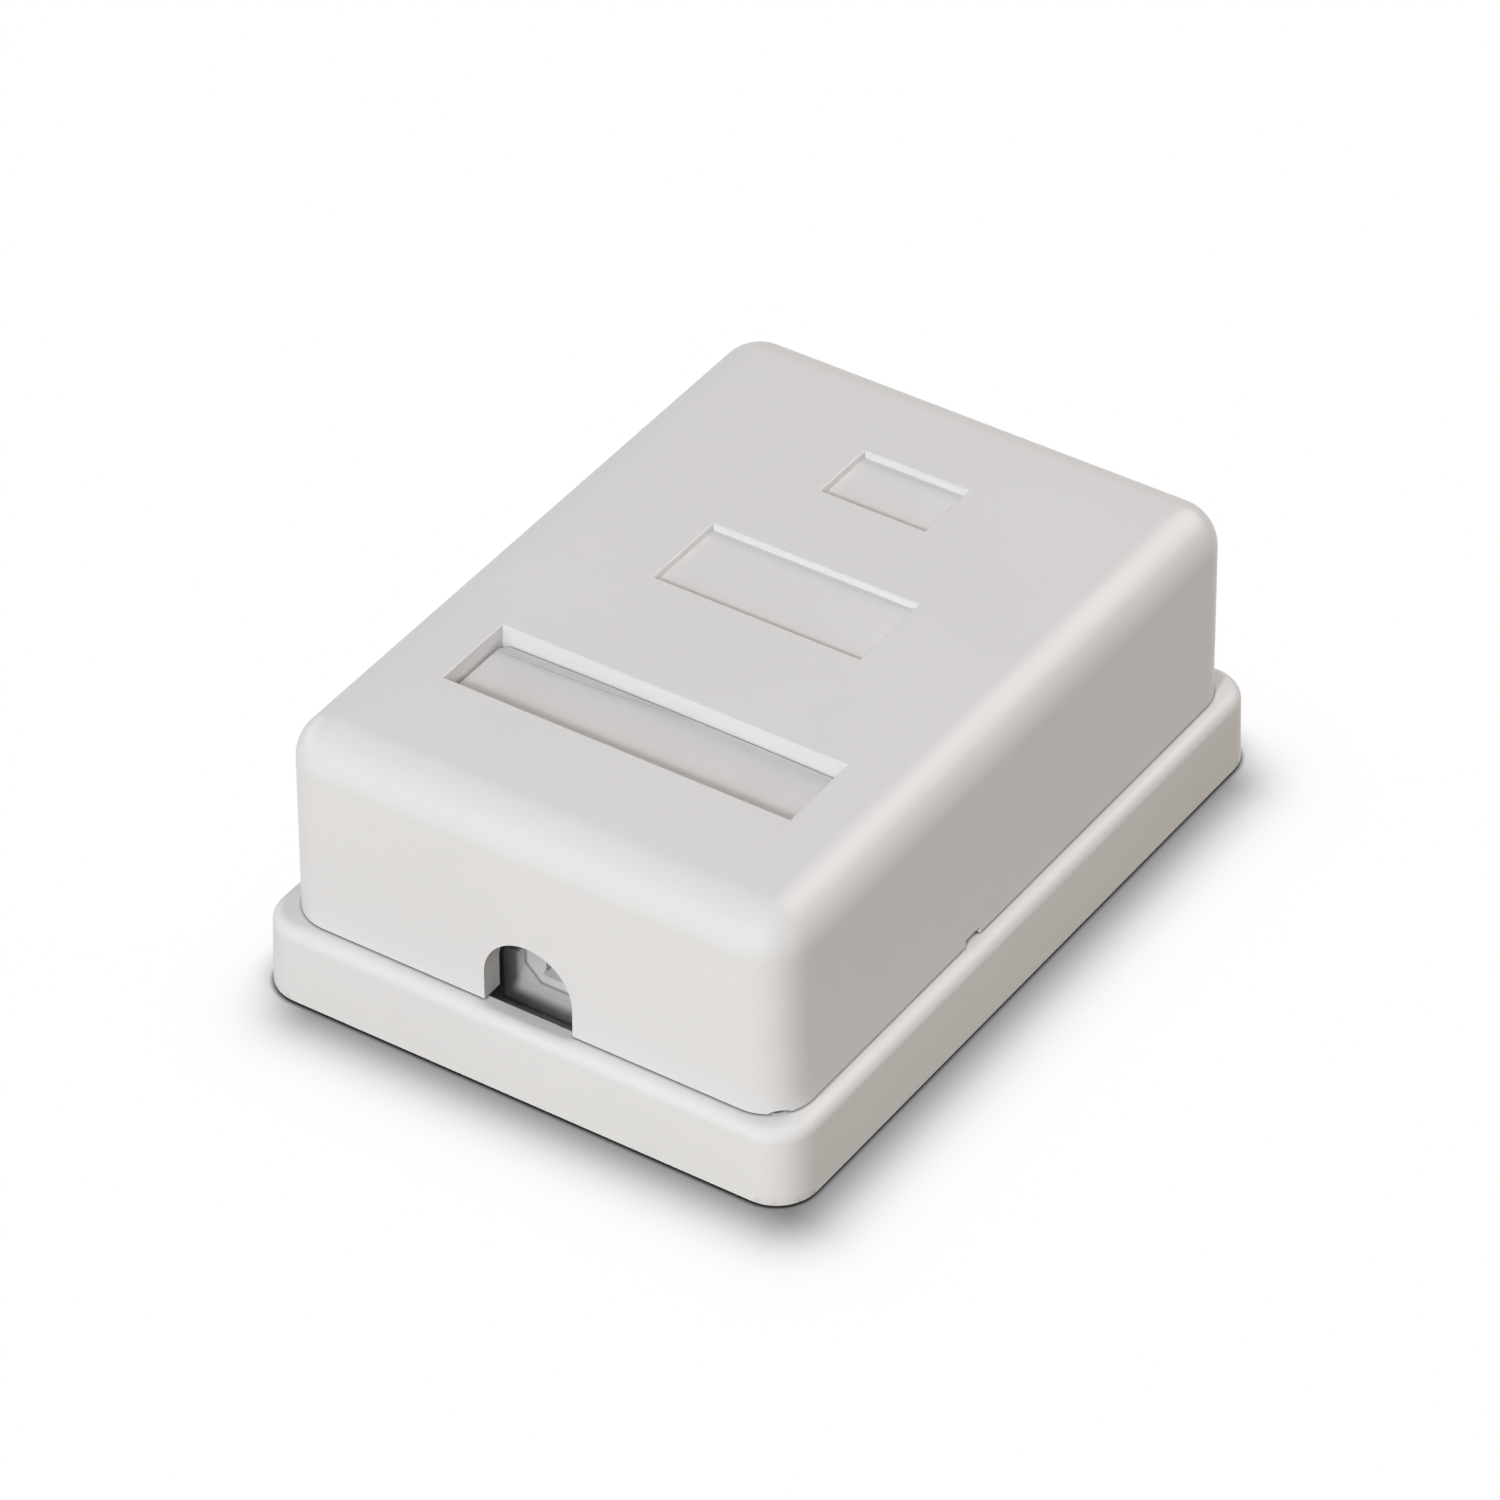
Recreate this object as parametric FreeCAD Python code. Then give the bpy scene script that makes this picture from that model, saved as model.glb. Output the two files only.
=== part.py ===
"""Two-port surface mount jack box: a wall box for data cabling.

A tray base screws or sticks to the wall.  It carries a circuit board with two
8-way modular jacks at one end and two insulation-displacement terminal blocks
behind them.  A domed cover drops over it, and one screw holds the cover down.
The screw hides under a label card and a clear window in the cover's top.

Frame: millimetres, +Z up, origin at the middle of the base's underside.
X runs across the box, +Y points at the jack ports and -Y at the cable entry.
"""
import FreeCAD, Part
import math
import os
from FreeCAD import Vector

# ---------------------------------------------------------------- the base
base_length = 67.2          # along Y, at the foot
base_width = 49.0           # along X, at the foot
base_height = 7.05          # wall side to the top of the rim
base_floor = 2.0            # floor thickness
base_lean = 0.2             # each wall leans in by this from foot to rim
base_corner_radius = 3.6
base_edge_radius = 1.1      # rounding of the rim's outer edge
base_foot_chamfer = 0.3
base_inner_corner_radius = 2.6

# ---------------------------------------------------------------- the cover
overall_height = 25.0
cover_margin = 1.63         # rim that shows all round the cover
cover_wall = 2.0
cover_lean = 0.15           # each wall leans in by this from seam to top
cover_corner_radius = 3.9   # upright corners at the seam
cover_blend_radius = 3.7    # round from the walls into the top
cover_inner_corner_radius = 2.4
cover_inner_bevel = 1.3     # between the hollow's walls and its ceiling
seam_gap = 0.1              # hairline between the cover and the rim
rim_lap = 0.55              # how far the cover's wall stands over the rim
lip_depth = 2.2             # lip that drops inside the rim
lip_clearance = 0.2
lip_corner_radius = 2.5

entry_width = 8.0           # arched cable entry
entry_height = 6.65         # rim to the crown of the arch
entry_lip_room = 2.6        # the lip is cut back by this each side of the entry
pry_notch_length = 2.0      # notches that take a screwdriver blade
pry_notch_height = 0.6
pry_notch_offset = -6.1     # along Y from the middle
corner_notch_length = 1.8   # thin notch under one corner at the cable end
corner_notch_height = 0.3
corner_notch_depth = 1.2

# recesses in the top
recess_edge_break = 0.15    # bevel round each recess
label_pocket_length = 31.1  # along X
label_pocket_width = 7.65   # along Y
label_pocket_depth = 3.0
label_pocket_offset = 15.77 # cable end face to the pocket's middle
label_pocket_wall = 1.5
mark_recess_length = 18.7
mark_recess_width = 8.1
mark_recess_depth = 0.65
mark_recess_offset = 34.97  # cable end face to the recess's middle
icon_recess_length = 9.5
icon_recess_width = 6.2
icon_recess_depth = 0.7
icon_recess_offset = 13.67  # port end face to the recess's middle

# ------------------------------------------------- label card and its window
card_thickness = 0.25
card_clearance = 0.3
window_thickness = 1.1
window_clearance = 0.22     # to the pocket's walls
window_seat_gap = 0.05      # to the card
window_bow = 0.15           # the strip is sprung up by this in its middle
window_pry_corner = 0.55    # cut corner that takes a fingernail

# ---------------------------------------------------------- the cover's screw
cover_screw_shank_radius = 1.15
cover_screw_head_radius = 2.7
cover_screw_head_height = 1.9
cover_screw_length = 13.0   # under the head
screw_head_clearance = 0.3
shank_clearance = 0.5       # in the cover's own boss
pilot_clearance = 0.1       # in the base's boss
cover_boss_wall = 1.3
base_boss_radius = 3.2
base_boss_height = 10.0     # above the floor
boss_gap = 0.2

# ------------------------------------------------------------- mounting
slot_width = 4.2
slot_length = 8.0
slot_spacing = 28.0
slot_seat_width = 1.4       # raised pad round each slot
slot_seat_height = 0.6
tape_length = 34.0
tape_width = 10.0
tape_thickness = 0.8
tape_spacing = 28.0
tape_offset = 9.0           # along Y from the middle

# ------------------------------------------------------------- cable anchor
anchor_width = 13.0
anchor_depth = 3.5
anchor_height = 5.0         # above the floor
anchor_distance = 4.0       # from the cover's inner face at the cable end
anchor_corner_radius = 0.5
anchor_pocket_margin = 1.4
anchor_pocket_depth = 0.9
anchor_pocket_chamfer = 1.45
anchor_pocket_rise = 2.0    # floor to the pocket's lower edge
tie_slot_width = 6.4
tie_slot_height = 1.3
tie_slot_rise = 3.4         # floor to the slot's lower edge
tie_ledge_reach = 0.5
tie_ledge_thickness = 0.35

# ------------------------------------------------------------- circuit board
board_thickness = 1.6
board_standoff = 2.2
board_side_gap = 1.6        # to the cover's side walls
board_end_gap = 0.8         # to the cover's wall at the ports
board_tail_length = 1.9     # board behind the terminal blocks
board_corner_cut = 1.0
standoff_radius = 2.2       # to the corners of its eight sides
standoff_inset = 2.6        # from the board's edges
locating_pin_radius = 1.0
locating_pin_clearance = 0.1
board_screw_radius = 0.95
board_screw_head_radius = 2.1
board_screw_head_height = 1.5
board_screw_length = 4.6
board_screw_clearance = 0.25
board_screw_pilot_clearance = 0.05
board_screw_inset = 3.0     # from the ends of the terminal blocks

# ------------------------------------------------------------- modular jacks
jack_width = 15.4
jack_depth = 16.0
jack_height = 13.0
jack_rim_clearance = 0.15   # jack's front face to the base's rim
port_bar_width = 2.2        # cover's bar between the two ports
port_clearance = 0.2
plug_width = 11.9
plug_height = 6.9
plug_depth = 12.4
plug_rise = 4.2             # board to the underside of the plug's space
latch_width = 6.4
latch_depth = 2.8
latch_step_width = 3.6
latch_step_depth = 1.2
latch_catch_thickness = 1.6
plug_lead_in = 0.35
chamber_width = 8.8
chamber_roof = 0.75
chamber_front_wall = 2.4
jack_post_radius = 1.55     # to the corners of its eight sides
jack_post_clearance = 0.08
jack_post_length = 2.6
jack_post_spacing = 12.7
jack_post_setback = 9.0     # from the jack's front face

# ------------------------------------------------- jack contacts and carrier
contact_count = 8
contact_pitch = 1.016
contact_width = 0.45
contact_thickness = 0.3
contact_curl_radius = 0.8
contact_curl_bends = 4      # straight runs that make the curl
contact_bend_cut = 0.6      # corner between the upright run and the top run
contact_slope = 10.5        # degrees below level, running back into the jack
contact_reach = 8.5         # of the sloping run, along Y
contact_cover = 0.1         # carrier's plate over the top run
contact_front_gap = 0.75    # curl to the chamber's front wall
tail_inset = 0.8            # first row of tails from the jack's rear
tail_stagger = 2.0
tail_length = 1.3           # below the board
tail_clearance = 0.12       # round each tail in the board
carrier_clearance = 0.1
carrier_wall = 3.4
carrier_plate = 1.0
carrier_comb_depth = 1.1
carrier_comb_height = 3.8
carrier_plate_setback = 1.3

# ------------------------------------------------------------- terminal blocks
block_gap = 3.9             # behind the jack
block_slab_height = 2.4
terminal_rows = 2
terminals_per_row = 4
terminal_pitch = 3.96
row_width = 4.6
row_spacing = 7.6           # middle to middle
end_tooth_width = 2.11
wire_slot_width = 1.1
wire_slot_rise = 1.4        # slab to the bottom of the slots
tooth_shoulder_height = 5.2
tooth_height = 7.1
terminal_thickness = 0.5
terminal_width = 2.4
terminal_height = 6.6
terminal_root = 1.2         # part of the terminal inside the slab
terminal_slit_width = 0.4
terminal_slit_depth = 3.8
terminal_tail_width = 0.6

# ------------------------------------------------------------- terminal caps
cap_wall = 0.7
cap_top = 1.0
cap_clearance = 0.25
cap_headroom = 0.3
cap_skirt = 4.1             # reach down over the teeth
cap_exit_width = 1.5
cap_exit_height = 2.4
cap_edge_bevel = 0.4
probe_slot_length = 2.4
probe_slot_width = 0.9

# ------------------------------------------------------------- derived places
cover_length = base_length - 2 * cover_margin
cover_width = base_width - 2 * cover_margin
cover_inner_length = cover_length - 2 * cover_wall
cover_inner_width = cover_width - 2 * cover_wall
rim_inner_length = cover_length - 2 * rim_lap
rim_inner_width = cover_width - 2 * rim_lap
cover_bottom = base_height + seam_gap
ceiling = overall_height - cover_wall

cable_face = -cover_length / 2
port_face = cover_length / 2
label_y = cable_face + label_pocket_offset
mark_y = cable_face + mark_recess_offset
icon_y = port_face - icon_recess_offset
pocket_floor = overall_height - label_pocket_depth
screw_boss_top = base_floor + base_boss_height

board_bottom = base_floor + board_standoff
board_top = board_bottom + board_thickness
jack_front = port_face - rim_lap - jack_rim_clearance
jack_rear = jack_front - jack_depth
jack_top = board_top + jack_height
port_offset = (jack_width + port_bar_width) / 2 + port_clearance
block_length = (terminals_per_row - 1) * terminal_pitch + wire_slot_width + 2 * end_tooth_width
block_width = (terminal_rows - 1) * row_spacing + row_width
block_y = jack_rear - block_gap - block_length / 2
board_front = cover_inner_length / 2 - board_end_gap
board_rear = block_y - block_length / 2 - board_tail_length
board_width = cover_inner_width - 2 * board_side_gap
slab_top = board_top + block_slab_height
SIDES = {"left": -1, "right": 1}


# ------------------------------------------------------------- shape helpers
def block(x0, x1, y0, y1, z0, z1):
    """Plain block between two corners."""
    return Part.makeBox(x1 - x0, y1 - y0, z1 - z0, Vector(x0, y0, z0))


def centred_block(size_x, size_y, z0, z1, x=0.0, y=0.0):
    """Plain block centred on (x, y)."""
    return block(x - size_x / 2, x + size_x / 2, y - size_y / 2, y + size_y / 2, z0, z1)


def cylinder(radius, z0, z1, x=0.0, y=0.0):
    """Upright cylinder."""
    return Part.makeCylinder(radius, z1 - z0, Vector(x, y, z0))


def many_sided(sides, radius, z0, z1, x=0.0, y=0.0):
    """Upright prism; the radius reaches its corners."""
    corners = [Vector(x + radius * math.cos((2 * turn + 1) * math.pi / sides),
                      y + radius * math.sin((2 * turn + 1) * math.pi / sides), z0)
               for turn in range(sides)]
    face = Part.Face(Part.makePolygon(corners + corners[:1]))
    return face.extrude(Vector(0, 0, z1 - z0))


def eight_sided(radius, z0, z1, x, y):
    """Post or hole that stays out of sight."""
    return many_sided(8, radius, z0, z1, x, y)


def small_round(radius, z0, z1, x=0.0, y=0.0):
    """Small post, hole or shank, near enough round with twelve sides."""
    return many_sided(12, radius, z0, z1, x, y)


def rounded_outline(size_x, size_y, radius, z, x=0.0, y=0.0):
    """Closed wire: a rectangle with round corners at height z."""
    half_x, half_y = size_x / 2 - radius, size_y / 2 - radius
    edges, previous, first = [], None, None
    for sign_x, sign_y, start in ((1, -1, -90), (1, 1, 0), (-1, 1, 90), (-1, -1, 180)):
        centre = Vector(x + sign_x * half_x, y + sign_y * half_y, z)
        points = []
        for turn in (0, 45, 90):
            angle = math.radians(start + turn)
            points.append(centre + Vector(radius * math.cos(angle), radius * math.sin(angle), 0))
        if previous is not None:
            edges.append(Part.LineSegment(previous, points[0]).toShape())
        edges.append(Part.Arc(*points).toShape())
        previous, first = points[2], first or points[0]
    edges.append(Part.LineSegment(previous, first).toShape())
    return Part.Wire(edges)


def rounded_block(size_x, size_y, radius, z0, z1, x=0.0, y=0.0):
    """Block with round upright corners."""
    face = Part.Face(rounded_outline(size_x, size_y, radius, z0, x, y))
    return face.extrude(Vector(0, 0, z1 - z0))


def leaning_block(size_x, size_y, radius, lean, z0, z1):
    """Block whose walls lean in evenly from z0 to z1."""
    foot = rounded_outline(size_x, size_y, radius, z0)
    head = rounded_outline(size_x - 2 * lean, size_y - 2 * lean, radius - lean, z1)
    return Part.makeLoft([foot, head], True, True)


def slot_block(length, width, z0, z1, x, y):
    """Round-ended slot along X."""
    return rounded_block(length, width, width / 2 * 0.999, z0, z1, x, y)


def prism_along_x(points, x0, x1):
    """Outline of (y, z) points, run from x0 to x1."""
    corners = [Vector(x0, y, z) for y, z in points]
    face = Part.Face(Part.makePolygon(corners + corners[:1]))
    return face.extrude(Vector(x1 - x0, 0, 0))


def prism_along_y(points, y0, y1):
    """Outline of (x, z) points, run from y0 to y1."""
    corners = [Vector(x, y0, z) for x, z in points]
    face = Part.Face(Part.makePolygon(corners + corners[:1]))
    return face.extrude(Vector(0, y1 - y0, 0))


def edges_at_height(shape, z, half_x=None, half_y=None, y=0.0):
    """Level edges at height z, inside an optional box about (0, y)."""
    found = []
    for edge in shape.Edges:
        box = edge.BoundBox
        if abs(box.ZMin - z) > 1e-4 or abs(box.ZMax - z) > 1e-4:
            continue
        if half_x is not None and max(abs(box.XMin), abs(box.XMax)) > half_x:
            continue
        if half_y is not None and max(abs(box.YMin - y), abs(box.YMax - y)) > half_y:
            continue
        found.append(edge)
    return found


def upright_edges(shape):
    """Straight edges that stand along Z."""
    return [edge for edge in shape.Edges
            if edge.BoundBox.XLength < 1e-6 and edge.BoundBox.YLength < 1e-6]


def cross_recess(head_radius, head_top, depth, x, y):
    """Cross-shaped driver recess for a screw's head."""
    arm, width = head_radius * 1.2, head_radius * 0.26
    cross = None
    for size_x, size_y in ((arm, width), (width, arm)):
        bar = centred_block(size_x, size_y, head_top - depth, head_top + 0.1, x, y)
        cross = bar if cross is None else cross.fuse(bar)
    return cross


def pan_screw(shank_radius, length, head_radius, head_height, seat, x, y):
    """Pan-head screw with its head standing on height seat."""
    top = seat + head_height
    head = cylinder(head_radius, seat, top, x, y)
    screw = head.fuse(small_round(shank_radius, seat - length, seat, x, y))
    return screw.cut(cross_recess(head_radius, top, head_height * 0.6, x, y)).removeSplitter()


# ------------------------------------------------------------- base
def tie_anchor():
    """Block behind the cable entry, with a slot for a cable tie in a sunk face."""
    front = cable_face + cover_wall + anchor_distance
    rear = front + anchor_depth
    top = base_floor + anchor_height
    body = centred_block(anchor_width, anchor_depth, base_floor - 0.5, top, 0, (front + rear) / 2)
    corners = [edge for edge in body.Edges
               if edge.BoundBox.ZMin > top - 1e-6 and edge.BoundBox.XLength < 1e-6]
    body = body.makeFillet(anchor_corner_radius, corners)

    half = anchor_width / 2 - anchor_pocket_margin
    low = base_floor + anchor_pocket_rise
    cut = anchor_pocket_chamfer
    outline = [(-half, top + 1), (-half, low + cut), (-half + cut, low),
               (half - cut, low), (half, low + cut), (half, top + 1)]
    sunk = prism_along_y(outline, front - 1, front + anchor_pocket_depth)
    slot_low = base_floor + tie_slot_rise
    slot = centred_block(tie_slot_width, anchor_depth + 2, slot_low, slot_low + tie_slot_height,
                         0, (front + rear) / 2)
    ledge = centred_block(tie_slot_width, tie_ledge_reach, slot_low - tie_ledge_thickness,
                          slot_low, 0, front + anchor_pocket_depth - tie_ledge_reach / 2)
    return body.cut(sunk).fuse(ledge).cut(slot)


def standoff_places():
    """Middles of the four posts under the board's corners."""
    x = board_width / 2 - standoff_inset
    for y in (board_rear + standoff_inset, board_front - standoff_inset):
        for sign in (-1, 1):
            yield sign * x, y


def locating_pin_places():
    """The two posts at the board's rear carry locating pins."""
    return [place for place in standoff_places() if place[1] < 0]


def board_screw_places():
    """Two screws on the middle line, between the terminal blocks."""
    reach = block_length / 2 - board_screw_inset
    return [(0, block_y - reach), (0, block_y + reach)]


def make_base():
    """Tray with a rounded rim, posts, screw bosses, wall slots and cable anchor."""
    body = leaning_block(base_width, base_length, base_corner_radius, base_lean, 0, base_height)
    body = body.makeFillet(base_edge_radius, edges_at_height(body, base_height))
    body = body.makeChamfer(base_foot_chamfer, edges_at_height(body, 0))
    body = body.cut(rounded_block(rim_inner_width, rim_inner_length, base_inner_corner_radius,
                                  base_floor, base_height + 1))

    embed = 0.5
    for x, y in standoff_places():
        body = body.fuse(eight_sided(standoff_radius, base_floor - embed, board_bottom, x, y))
    for x, y in locating_pin_places():
        body = body.fuse(small_round(locating_pin_radius, board_bottom - embed, board_top, x, y))
    for x, y in board_screw_places():
        body = body.fuse(eight_sided(standoff_radius, base_floor - embed, board_bottom, x, y))
        pilot = board_screw_radius + board_screw_pilot_clearance
        depth = board_screw_length - board_thickness + board_screw_pilot_clearance
        body = body.cut(small_round(pilot, board_bottom - depth, board_bottom + 1, x, y))

    body = body.fuse(small_round(base_boss_radius, base_floor - embed, screw_boss_top, 0, label_y))
    pilot = cover_screw_shank_radius + pilot_clearance
    body = body.cut(small_round(pilot, base_floor, screw_boss_top + 1, 0, label_y))

    for sign in (-1, 1):
        x = sign * slot_spacing / 2
        seat_top = base_floor + slot_seat_height
        body = body.fuse(centred_block(slot_length + 2 * slot_seat_width,
                                       slot_width + 2 * slot_seat_width,
                                       base_floor - embed, seat_top, x, label_y))
        body = body.cut(slot_block(slot_length, slot_width, -1, seat_top + 1, x, label_y))
        tape_x = sign * tape_spacing / 2
        body = body.cut(centred_block(tape_width, tape_length, -1, tape_thickness,
                                      tape_x, tape_offset))
    return body.fuse(tie_anchor()).removeSplitter()


def make_mounting_tape():
    """Two strips of foam tape let into the underside."""
    strips = [centred_block(tape_width, tape_length, 0, tape_thickness,
                            sign * tape_spacing / 2, tape_offset) for sign in (-1, 1)]
    return Part.makeCompound(strips)


# ------------------------------------------------------------- cover
def arch_cutter():
    """Cable entry: upright sides under a half-round crown."""
    radius = entry_width / 2
    spring = base_height + entry_height - radius
    y = cable_face - 1
    reach = cover_wall + 2
    legs = block(-radius, radius, y, y + reach, base_height - lip_depth - 1, spring)
    crown = Part.makeCylinder(radius, reach, Vector(0, y, spring), Vector(0, 1, 0))
    return legs.fuse(crown)


def corner_notch_cutter():
    """Shallow lens under the cover's corner at its +X, cable end."""
    rise = corner_notch_height
    radius = (corner_notch_length ** 2 / 4 + rise ** 2) / (2 * rise)
    outward = Vector(1, -1, 0).normalize()
    middle = Vector(cover_width / 2 - cover_corner_radius,
                    cable_face + cover_corner_radius, cover_bottom + rise - radius)
    start = middle + outward * (cover_corner_radius - corner_notch_depth)
    return Part.makeCylinder(radius, corner_notch_depth + 1, start, outward)


def port_cutters():
    """One opening for each jack, open towards the rim so that the cover lifts off."""
    for sign in SIDES.values():
        yield centred_block(jack_width + 2 * port_clearance, 2 * (cover_wall + 1),
                            base_height - lip_depth - 1, jack_top + port_clearance,
                            sign * port_offset, port_face)


def recess(length, width, depth, y):
    """Shallow rectangular recess in the cover's top."""
    return centred_block(length, width, overall_height - depth, overall_height + 1, 0, y)


def make_cover():
    """Domed shell with a lip, cable arch, port openings and three top recesses."""
    shell = leaning_block(cover_width, cover_length, cover_corner_radius,
                          cover_lean, cover_bottom, overall_height)
    shell = shell.makeFillet(cover_blend_radius, edges_at_height(shell, overall_height))
    for length, width, depth, y in (
            (label_pocket_length, label_pocket_width, label_pocket_depth, label_y),
            (mark_recess_length, mark_recess_width, mark_recess_depth, mark_y),
            (icon_recess_length, icon_recess_width, icon_recess_depth, icon_y)):
        shell = shell.cut(recess(length, width, depth, y))
        rim = edges_at_height(shell, overall_height, length / 2 + 0.01, width / 2 + 0.01, y)
        shell = shell.makeChamfer(recess_edge_break, rim)

    lip_width = rim_inner_width - 2 * lip_clearance
    lip_length = rim_inner_length - 2 * lip_clearance
    shell = shell.fuse(rounded_block(lip_width, lip_length, lip_corner_radius,
                                     cover_bottom - lip_depth, cover_bottom + 0.5))

    hollow = rounded_block(cover_inner_width, cover_inner_length, cover_inner_corner_radius,
                           cover_bottom - lip_depth - 1, ceiling)
    hollow = hollow.makeChamfer(cover_inner_bevel, edges_at_height(hollow, ceiling))
    tray = centred_block(label_pocket_length + 2 * label_pocket_wall,
                         label_pocket_width + 2 * label_pocket_wall,
                         pocket_floor - label_pocket_wall, ceiling + 1, 0, label_y)
    head_room = cover_screw_head_radius + screw_head_clearance
    boss = small_round(head_room + cover_boss_wall, screw_boss_top + boss_gap, ceiling + 1,
                       0, label_y)
    shell = shell.cut(hollow.cut(tray).cut(boss))

    seat = pocket_floor - cover_screw_head_height
    shell = shell.cut(cylinder(head_room, seat, pocket_floor + 0.5, 0, label_y))
    shell = shell.cut(small_round(cover_screw_shank_radius + shank_clearance,
                                  screw_boss_top, seat + 0.5, 0, label_y))
    shell = shell.cut(arch_cutter())
    shell = shell.cut(centred_block(entry_width + 2 * entry_lip_room, 2 * (cover_wall + 1),
                                    cover_bottom - lip_depth - 1, cover_bottom, 0, cable_face))
    shell = shell.cut(corner_notch_cutter())
    for cutter in port_cutters():
        shell = shell.cut(cutter)
    for sign in (-1, 1):
        shell = shell.cut(centred_block(2 * rim_lap, pry_notch_length, cover_bottom - 0.1,
                                        cover_bottom + pry_notch_height,
                                        sign * cover_width / 2, pry_notch_offset))
    return shell.removeSplitter()


def make_cover_screw():
    """Pan-head screw sunk in the floor of the label pocket."""
    return pan_screw(cover_screw_shank_radius, cover_screw_length, cover_screw_head_radius,
                     cover_screw_head_height, pocket_floor - cover_screw_head_height, 0, label_y)


def make_label_card():
    """Paper card on the floor of the label pocket."""
    return centred_block(label_pocket_length - 2 * card_clearance,
                         label_pocket_width - 2 * card_clearance,
                         pocket_floor, pocket_floor + card_thickness, 0, label_y)


def make_label_window():
    """Clear strip over the card, sprung up in a shallow arc along X."""
    half = label_pocket_length / 2 - window_clearance
    low = pocket_floor + card_thickness + window_seat_gap
    y0 = label_y - label_pocket_width / 2 + window_clearance
    width = label_pocket_width - 2 * window_clearance
    edges = []
    for height in (low, low + window_thickness):
        ends = Vector(-half, y0, height), Vector(half, y0, height)
        edges.append(Part.Arc(ends[0], Vector(0, y0, height + window_bow), ends[1]).toShape())
    for x in (-half, half):
        edges.append(Part.LineSegment(Vector(x, y0, low),
                                      Vector(x, y0, low + window_thickness)).toShape())
    face = Part.Face(Part.Wire(Part.__sortEdges__(edges)))
    strip = face.extrude(Vector(0, width, 0))
    corner = [edge for edge in strip.Edges
              if edge.BoundBox.XMax < -half + 1e-4 and edge.BoundBox.YMin > y0 + width - 1e-4]
    return strip.makeChamfer(window_pry_corner, corner)


# ------------------------------------------------------------- circuit board
def tail_places(centre_x):
    """Where the jack's contacts pass through the board, in two staggered rows."""
    for index in range(contact_count):
        x = centre_x + (index - (contact_count - 1) / 2) * contact_pitch
        yield x, jack_rear + tail_inset + (index % 2) * tail_stagger


def terminal_places(centre_x):
    """Middles of a terminal block's contacts: rows along Y."""
    for row in range(terminal_rows):
        x = centre_x + (row - (terminal_rows - 1) / 2) * row_spacing
        for index in range(terminals_per_row):
            yield x, block_y + (index - (terminals_per_row - 1) / 2) * terminal_pitch


def jack_post_places(centre_x):
    """Two moulded posts that hold a jack in the board."""
    y = jack_front - jack_post_setback
    return [(centre_x + sign * jack_post_spacing / 2, y) for sign in (-1, 1)]


def make_circuit_board():
    """Board with holes for every tail, post, pin and screw."""
    board = centred_block(board_width, board_front - board_rear, board_bottom, board_top,
                          0, (board_front + board_rear) / 2)
    board = board.makeChamfer(board_corner_cut, upright_edges(board))
    low, high = board_bottom - 1, board_top + 1
    round_holes = [(locating_pin_radius + locating_pin_clearance, place)
                   for place in locating_pin_places()]
    round_holes += [(board_screw_radius + board_screw_clearance, place)
                    for place in board_screw_places()]
    cutters = [small_round(radius, low, high, *place) for radius, place in round_holes]
    gap = 2 * tail_clearance
    for sign in SIDES.values():
        centre = sign * port_offset
        cutters += [centred_block(contact_width + gap, contact_thickness + gap, low, high, *place)
                    for place in tail_places(centre)]
        cutters += [centred_block(terminal_thickness + gap, terminal_tail_width + gap, low, high,
                                  *place) for place in terminal_places(centre)]
        cutters += [eight_sided(jack_post_radius + jack_post_clearance, low, high, *place)
                    for place in jack_post_places(centre)]
    return board.cut(Part.makeCompound(cutters))


def make_board_screws():
    """Two short screws that hold the board on its bosses."""
    screws = [pan_screw(board_screw_radius, board_screw_length, board_screw_head_radius,
                        board_screw_head_height, board_top, *place)
              for place in board_screw_places()]
    return Part.makeCompound(screws)


# ------------------------------------------------------------- modular jack
def make_jack_housing(centre_x):
    """Jack body: plug space with its latch channel, contact chamber and two posts."""
    body = centred_block(jack_width, jack_depth, board_top, jack_top,
                         centre_x, jack_rear + jack_depth / 2)
    low = board_top + plug_rise
    rear = jack_front - plug_depth
    latch_low = low - latch_depth
    step = latch_low + latch_step_depth
    catch = jack_front - latch_catch_thickness
    half, latch, narrow = plug_width / 2, latch_width / 2, latch_step_width / 2
    mouth = [(-half, low), (-latch, low), (-latch, step), (-narrow, step), (-narrow, latch_low),
             (narrow, latch_low), (narrow, step), (latch, step), (latch, low), (half, low),
             (half, low + plug_height), (-half, low + plug_height)]
    mouth = [(centre_x + x, z) for x, z in mouth]
    body = body.cut(prism_along_y(mouth, rear, jack_front + 1))
    front_edges = [edge for edge in body.Edges
                   if edge.BoundBox.YMin > jack_front - 1e-6
                   and edge.BoundBox.ZMin > latch_low - 1e-6
                   and edge.BoundBox.ZMax < low + plug_height + 1e-6
                   and edge.BoundBox.XMin > centre_x - half - 1e-6
                   and edge.BoundBox.XMax < centre_x + half + 1e-6]
    body = body.makeChamfer(plug_lead_in, front_edges)
    body = body.cut(centred_block(latch_width, catch - rear, latch_low, step + 0.1,
                                  centre_x, (catch + rear) / 2))
    roof = jack_top - chamber_roof
    chamber_front = jack_front - chamber_front_wall
    body = body.cut(block(centre_x - chamber_width / 2, centre_x + chamber_width / 2,
                          jack_rear - 1, chamber_front, low + plug_height - 0.5, roof))
    body = body.cut(block(centre_x - chamber_width / 2, centre_x + chamber_width / 2,
                          jack_rear - 1, rear + 0.1, board_top - 1, roof))
    for place in jack_post_places(centre_x):
        body = body.fuse(eight_sided(jack_post_radius, board_top - jack_post_length,
                                     board_top + 0.5, *place))
    return body.removeSplitter()


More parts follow.
